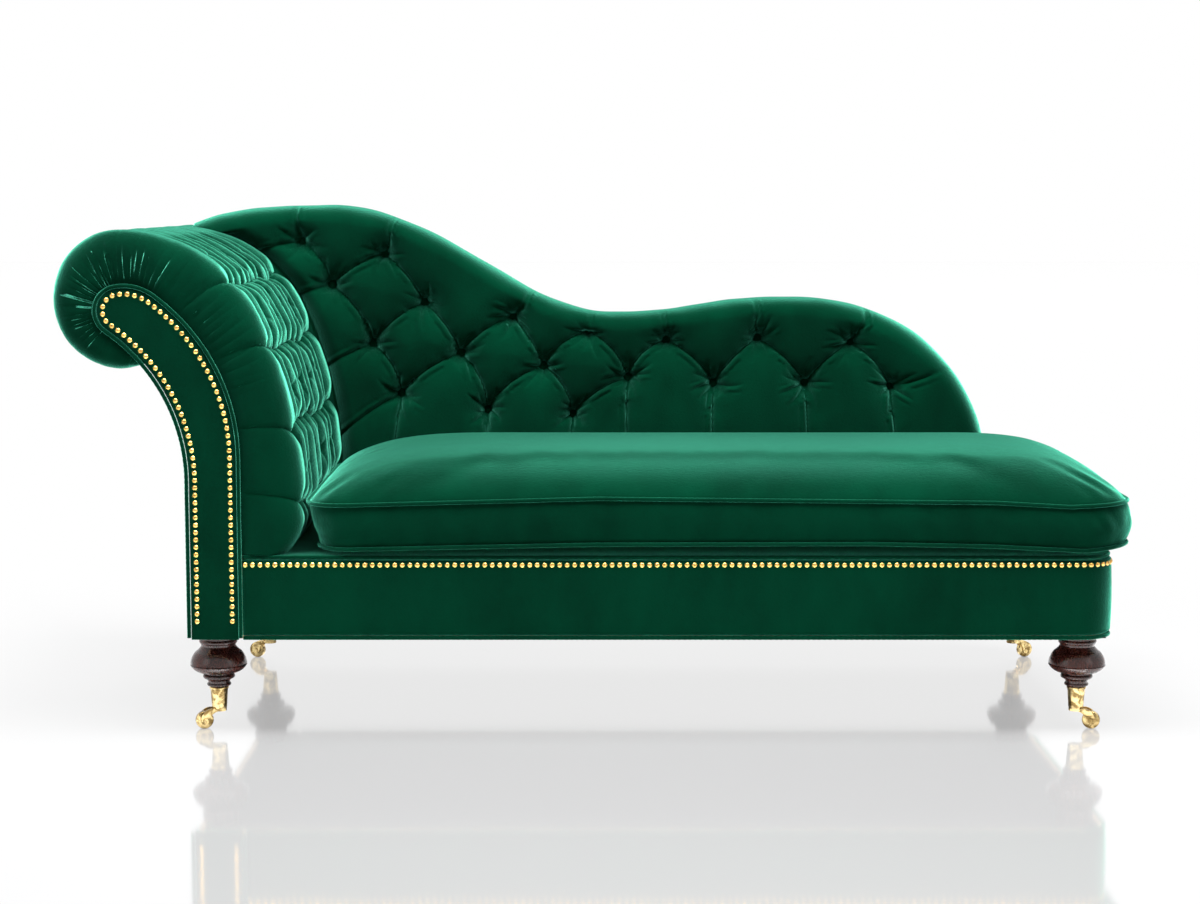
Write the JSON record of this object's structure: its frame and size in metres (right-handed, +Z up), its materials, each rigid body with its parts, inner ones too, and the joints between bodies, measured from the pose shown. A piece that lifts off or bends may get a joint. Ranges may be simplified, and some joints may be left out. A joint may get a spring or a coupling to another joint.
{
  "type": "chaise longue",
  "caption": "Upholstered chaise longue with a scrolled head end, tufted serpentine back, loose seat cushion and turned legs on casters.",
  "frame": {"origin": "on the floor, under the middle of the bounding box", "axes": "+X from the scrolled head end to the foot end, +Y from the sitting side to the back, +Z up"},
  "size_m": [1.8037, 0.7518, 0.884],
  "materials": {
    "velvet": "matte",
    "beech": "matte",
    "mahogany": "gloss",
    "nail_brass": "polished",
    "caster_brass": "polished",
    "spring_steel": "satin",
    "hessian": "matte",
    "webbing": "matte",
    "filling": "matte",
    "dust_cloth": "matte"
  },
  "bodies": {
    "frame": {"front_seat_rail": "beech", "back_seat_rail": "beech", "head_seat_rail": "beech", "foot_seat_rail": "beech", "leg_blocks": "beech", "cross_rails": "beech", "arm_board_front": "beech", "arm_board_rear": "beech", "arm_rails": "beech", "back_top_rail": "beech", "back_posts": "beech", "back_stuffing_rails": "beech", "zigzag_springs": "spring_steel", "spring_clips": "spring_steel", "leg_bolts": "spring_steel", "seat_hessian": "hessian", "arm_hessian": "hessian", "back_webbing": "webbing", "seat_platform": "velvet", "base_cover": "velvet", "base_piping": "velvet", "arm_pad": "velvet", "arm_buttons": "velvet", "arm_facing_front": "velvet", "arm_facing_rear": "velvet", "facing_piping_front": "velvet", "facing_piping_rear": "velvet", "arm_outside_panel": "velvet", "back_pad": "velvet", "back_buttons": "velvet", "back_outside_panel": "velvet", "dust_cover": "dust_cloth", "base_nails": "nail_brass", "facing_nails_front": "nail_brass", "facing_nails_rear": "nail_brass", "leg_head_front": "mahogany", "leg_head_rear": "mahogany", "leg_foot_front": "mahogany", "leg_foot_rear": "mahogany", "caster_cup_head_front": "caster_brass", "caster_cup_head_rear": "caster_brass", "caster_cup_foot_front": "caster_brass", "caster_cup_foot_rear": "caster_brass"},
    "seat_cushion": {"seat_cushion_cover": "velvet", "seat_cushion_filling": "filling", "cushion_piping_lower": "velvet", "cushion_piping_upper": "velvet"},
    "caster_head_front": {"caster_fork_head_front": "caster_brass", "caster_axle_head_front": "caster_brass"},
    "wheel_head_front": {"caster_wheel_head_front": "caster_brass"},
    "caster_head_rear": {"caster_fork_head_rear": "caster_brass", "caster_axle_head_rear": "caster_brass"},
    "wheel_head_rear": {"caster_wheel_head_rear": "caster_brass"},
    "caster_foot_front": {"caster_fork_foot_front": "caster_brass", "caster_axle_foot_front": "caster_brass"},
    "wheel_foot_front": {"caster_wheel_foot_front": "caster_brass"},
    "caster_foot_rear": {"caster_fork_foot_rear": "caster_brass", "caster_axle_foot_rear": "caster_brass"},
    "wheel_foot_rear": {"caster_wheel_foot_rear": "caster_brass"}
  },
  "joints": [
    {"name": "cushion_lift", "type": "slide", "parent": "frame", "child": "seat_cushion", "axis": [0, 0, 1], "range_m": [0, 0.25]},
    {"name": "caster_swivel_head_front", "type": "hinge", "parent": "frame", "child": "caster_head_front", "pos_m": [-0.645, -0.305, 0.034], "axis": [0, 0, 1], "continuous": true},
    {"name": "wheel_roll_head_front", "type": "hinge", "parent": "caster_head_front", "child": "wheel_head_front", "pos_m": [-0.66943, -0.31389, 0.015], "axis": [0.342, -0.9397, 0], "continuous": true},
    {"name": "caster_swivel_head_rear", "type": "hinge", "parent": "frame", "child": "caster_head_rear", "pos_m": [-0.645, 0.305, 0.034], "axis": [0, 0, 1], "continuous": true},
    {"name": "wheel_roll_head_rear", "type": "hinge", "parent": "caster_head_rear", "child": "wheel_head_rear", "pos_m": [-0.67011, 0.31173, 0.015], "axis": [-0.2588, -0.9659, 0], "continuous": true},
    {"name": "caster_swivel_foot_front", "type": "hinge", "parent": "frame", "child": "caster_foot_front", "pos_m": [0.818, -0.305, 0.034], "axis": [0, 0, 1], "continuous": true},
    {"name": "wheel_roll_foot_front", "type": "hinge", "parent": "caster_foot_front", "child": "wheel_foot_front", "pos_m": [0.84273, -0.31303, 0.015], "axis": [0.309, 0.9511, 0], "continuous": true},
    {"name": "caster_swivel_foot_rear", "type": "hinge", "parent": "frame", "child": "caster_foot_rear", "pos_m": [0.818, 0.305, 0.034], "axis": [0, 0, 1], "continuous": true},
    {"name": "wheel_roll_foot_rear", "type": "hinge", "parent": "caster_foot_rear", "child": "wheel_foot_rear", "pos_m": [0.84243, 0.31389, 0.015], "axis": [-0.342, 0.9397, 0], "continuous": true}
  ]
}
